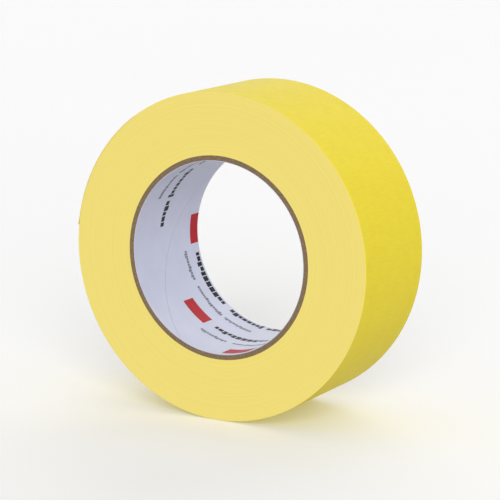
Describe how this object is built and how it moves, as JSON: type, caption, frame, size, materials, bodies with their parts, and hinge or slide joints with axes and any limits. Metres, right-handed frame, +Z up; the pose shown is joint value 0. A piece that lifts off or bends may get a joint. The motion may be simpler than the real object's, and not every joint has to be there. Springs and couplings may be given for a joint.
{
  "type": "masking tape roll",
  "caption": "Roll of yellow crepe paper masking tape wound on a paperboard core, standing on its tread; its free end peels off and curls back.",
  "frame": {"origin": "centre of the core's bore, halfway across the width", "axes": "+Y along the bore from the front face to the back face, +Z up, +X to the right seen from the front"},
  "size_m": [0.1295, 0.048, 0.1296],
  "materials": {
    "liner_paper": "coated, printed in black, red and grey",
    "core_board": "raw cut edge",
    "crepe_tape": "matte crepe"
  },
  "bodies": {
    "roll": {"core_liner": "liner_paper", "core_ply_1": "core_board", "core_ply_2": "core_board", "core_ply_3": "core_board", "core_ply_4": "core_board", "tape_pack": "crepe_tape"},
    "tail_1": {"tape_tail_1": "crepe_tape"},
    "tail_2": {"tape_tail_2": "crepe_tape"},
    "tail_3": {"tape_tail_3": "crepe_tape"},
    "tail_4": {"tape_tail_4": "crepe_tape"},
    "tail_5": {"tape_tail_5": "crepe_tape"},
    "tail_6": {"tape_tail_6": "crepe_tape"},
    "tail_7": {"tape_tail_7": "crepe_tape"},
    "tail_8": {"tape_tail_8": "crepe_tape"},
    "tail_9": {"tape_tail_9": "crepe_tape"},
    "tail_10": {"tape_tail_10": "crepe_tape"},
    "tail_11": {"tape_tail_11": "crepe_tape"}
  },
  "joints": [
    {"name": "peel", "type": "hinge", "parent": "roll", "child": "tail_1", "pos_m": [-0.03723, 0, 0.05314], "axis": [0, 1, 0], "range_deg": [0, 26]},
    {"name": "curl_2", "type": "hinge", "parent": "tail_1", "child": "tail_2", "pos_m": [-0.04121, 0, 0.05011], "axis": [0, 1, 0], "range_deg": [0, 21.32]},
    {"name": "curl_3", "type": "hinge", "parent": "tail_2", "child": "tail_3", "pos_m": [-0.04495, 0, 0.04679], "axis": [0, 1, 0], "range_deg": [0, 17.48]},
    {"name": "curl_4", "type": "hinge", "parent": "tail_3", "child": "tail_4", "pos_m": [-0.04842, 0, 0.04319], "axis": [0, 1, 0], "range_deg": [0, 14.34]},
    {"name": "curl_5", "type": "hinge", "parent": "tail_4", "child": "tail_5", "pos_m": [-0.0516, 0, 0.03934], "axis": [0, 1, 0], "range_deg": [0, 11.76]},
    {"name": "curl_6", "type": "hinge", "parent": "tail_5", "child": "tail_6", "pos_m": [-0.05448, 0, 0.03525], "axis": [0, 1, 0], "range_deg": [0, 9.64]},
    {"name": "curl_7", "type": "hinge", "parent": "tail_6", "child": "tail_7", "pos_m": [-0.05703, 0, 0.03096], "axis": [0, 1, 0], "range_deg": [0, 7.91]},
    {"name": "curl_8", "type": "hinge", "parent": "tail_7", "child": "tail_8", "pos_m": [-0.05925, 0, 0.02647], "axis": [0, 1, 0], "range_deg": [0, 6.48]},
    {"name": "curl_9", "type": "hinge", "parent": "tail_8", "child": "tail_9", "pos_m": [-0.06111, 0, 0.02184], "axis": [0, 1, 0], "range_deg": [0, 5.32]},
    {"name": "curl_10", "type": "hinge", "parent": "tail_9", "child": "tail_10", "pos_m": [-0.06261, 0, 0.01707], "axis": [0, 1, 0], "range_deg": [0, 4.36]},
    {"name": "curl_11", "type": "hinge", "parent": "tail_10", "child": "tail_11", "pos_m": [-0.06374, 0, 0.0122], "axis": [0, 1, 0], "range_deg": [0, 3.58]}
  ],
  "couplings": [
    {"joint": "curl_2", "follows": "peel", "ratio": 0.82},
    {"joint": "curl_3", "follows": "peel", "ratio": 0.6724},
    {"joint": "curl_4", "follows": "peel", "ratio": 0.55137},
    {"joint": "curl_5", "follows": "peel", "ratio": 0.45212},
    {"joint": "curl_6", "follows": "peel", "ratio": 0.37074},
    {"joint": "curl_7", "follows": "peel", "ratio": 0.30401},
    {"joint": "curl_8", "follows": "peel", "ratio": 0.24929},
    {"joint": "curl_9", "follows": "peel", "ratio": 0.20441},
    {"joint": "curl_10", "follows": "peel", "ratio": 0.16762},
    {"joint": "curl_11", "follows": "peel", "ratio": 0.13745}
  ]
}
